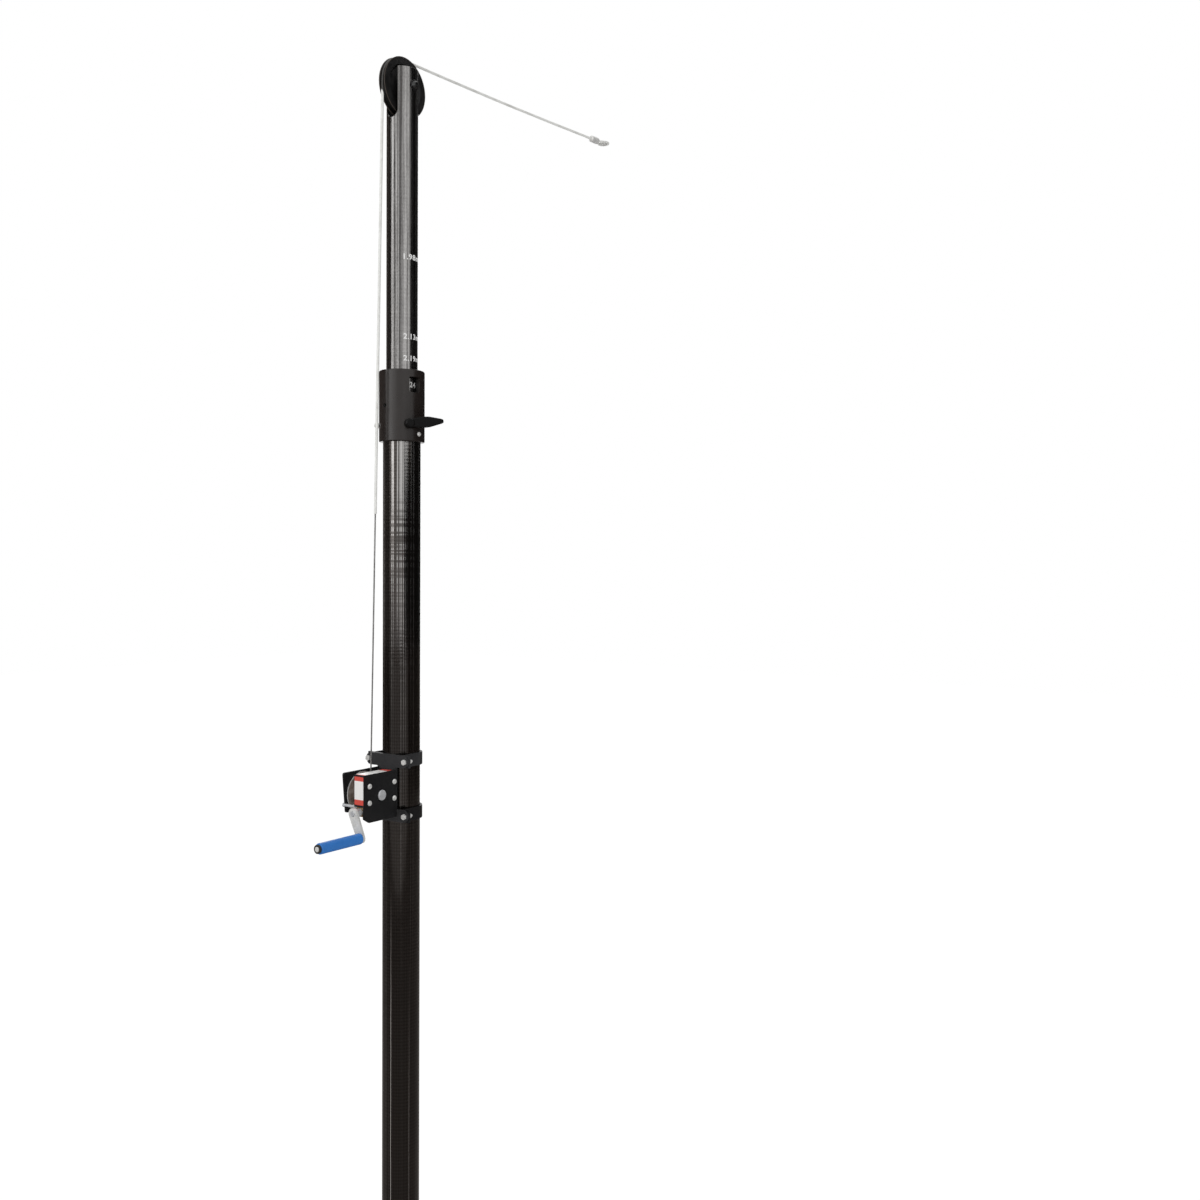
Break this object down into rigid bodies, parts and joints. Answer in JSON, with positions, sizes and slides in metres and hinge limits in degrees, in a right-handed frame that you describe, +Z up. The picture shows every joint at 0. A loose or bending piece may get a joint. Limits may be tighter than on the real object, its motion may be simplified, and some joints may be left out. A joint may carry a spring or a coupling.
{
  "type": "volleyball net post",
  "caption": "Telescoping carbon tube net post with a head sheave, a clamped worm gear winch with crank, and its net cable.",
  "frame": {"origin": "middle of the flat underside of the foot, 250 mm below the floor line when the post stands in its sleeve", "axes": "+Z up along the tubes, +X towards the net, -X towards the winch, +Y left"},
  "size_m": [0.9295, 0.1397, 2.5988],
  "materials": {
    "carbon_tube": "glossy clear coat over woven carbon fibre",
    "collar_black": "satin black anodised",
    "black_nylon": "moulded and machined black nylon",
    "black_powder_coat": "fine-textured black powder coat",
    "clamp_grey": "dark grey coated steel",
    "zinc_plate": "bright zinc plate",
    "bright_steel": "machined steel with light wear",
    "black_bolt": "black oxide",
    "bronze": "sintered bronze",
    "blue_grip": "satin blue plastic",
    "black_rubber": "matt black rubber",
    "steel_cable": "galvanised wire rope",
    "white_cable_coat": "smooth white plastic coat"
  },
  "bodies": {
    "post": {"foot_cap": "black_rubber", "lower_tube": "carbon_tube", "collar": "collar_black", "guide_bush": "black_nylon", "collar_grub_screw": "zinc_plate", "collar_button_screw": "zinc_plate", "collar_dome_screw": "zinc_plate", "clamp_shoe": "bronze", "winch_mount_plate": "clamp_grey", "upper_strap": "clamp_grey", "lower_strap": "clamp_grey", "strap_bolt_upper_right": "zinc_plate", "strap_bolt_upper_left": "zinc_plate", "strap_bolt_lower_right": "zinc_plate", "strap_bolt_lower_left": "zinc_plate", "strap_nut_upper_right": "zinc_plate", "strap_nut_upper_left": "zinc_plate", "strap_nut_lower_right": "zinc_plate", "strap_nut_lower_left": "zinc_plate", "winch_bolt_upper": "zinc_plate", "winch_bolt_lower": "zinc_plate", "winch_frame": "black_powder_coat", "tie_rod": "zinc_plate", "gear_cover": "black_powder_coat", "cover_screw_front_upper": "zinc_plate", "cover_screw_front_lower": "zinc_plate", "cover_screw_rear_upper": "zinc_plate", "cover_screw_rear_lower": "zinc_plate", "worm_bearing_front": "bronze", "worm_bearing_rear": "bronze", "cable_run_bare": "steel_cable"},
    "mast": {"upper_tube": "carbon_tube", "slide_ring": "black_nylon", "axle_bolt": "black_bolt", "axle_nut": "black_bolt", "axle_spacer_right": "zinc_plate", "axle_spacer_left": "zinc_plate", "axle_washer_right": "black_bolt", "axle_washer_left": "black_bolt", "cable_run_coated": "white_cable_coat", "cable_over_sheave": "white_cable_coat", "cable_tail": "white_cable_coat", "cable_ferrule": "zinc_plate", "cable_eye": "white_cable_coat", "thimble": "zinc_plate"},
    "sheave": {"sheave": "black_nylon", "sheave_bush": "bronze"},
    "drum": {"drum": "bright_steel", "drum_shaft": "bright_steel", "shaft_clip": "zinc_plate", "worm_wheel": "bronze", "cable_winding": "steel_cable"},
    "crank": {"worm": "bright_steel", "crank_hub_spacer": "bright_steel", "crank_arm": "zinc_plate", "grip_pin": "zinc_plate", "grip_end_cap": "black_rubber"},
    "grip": {"grip": "blue_grip"},
    "lever": {"clamp_lever": "black_nylon", "clamp_stud": "bright_steel"}
  },
  "joints": [
    {"name": "height_slide", "type": "slide", "parent": "post", "child": "mast", "axis": [0, 0, 1], "range_m": [-0.26, 0.19], "deforming": ["cable_run_bare"]},
    {"name": "sheave_spin", "type": "hinge", "parent": "mast", "child": "sheave", "pos_m": [0, 0, 2.5345], "axis": [0, 1, 0], "continuous": true},
    {"name": "drum_spin", "type": "hinge", "parent": "post", "child": "drum", "pos_m": [-0.092, 0, 1.118], "axis": [0, 1, 0], "continuous": true},
    {"name": "crank_spin", "type": "hinge", "parent": "post", "child": "crank", "pos_m": [-0.15, -0.0215, 1.09], "axis": [1, 0, 0], "continuous": true},
    {"name": "grip_spin", "type": "hinge", "parent": "crank", "child": "grip", "pos_m": [-0.2135, -0.04184, 1.04432], "axis": [1, 0, 0], "continuous": true},
    {"name": "lever_turn", "type": "hinge", "parent": "post", "child": "lever", "pos_m": [-0.023, -0.03984, 1.857], "axis": [-0.5, -0.866, 0], "range_deg": [0, 150]}
  ],
  "couplings": [
    {"joint": "drum_spin", "follows": "crank_spin", "ratio": 0.041667}
  ]
}
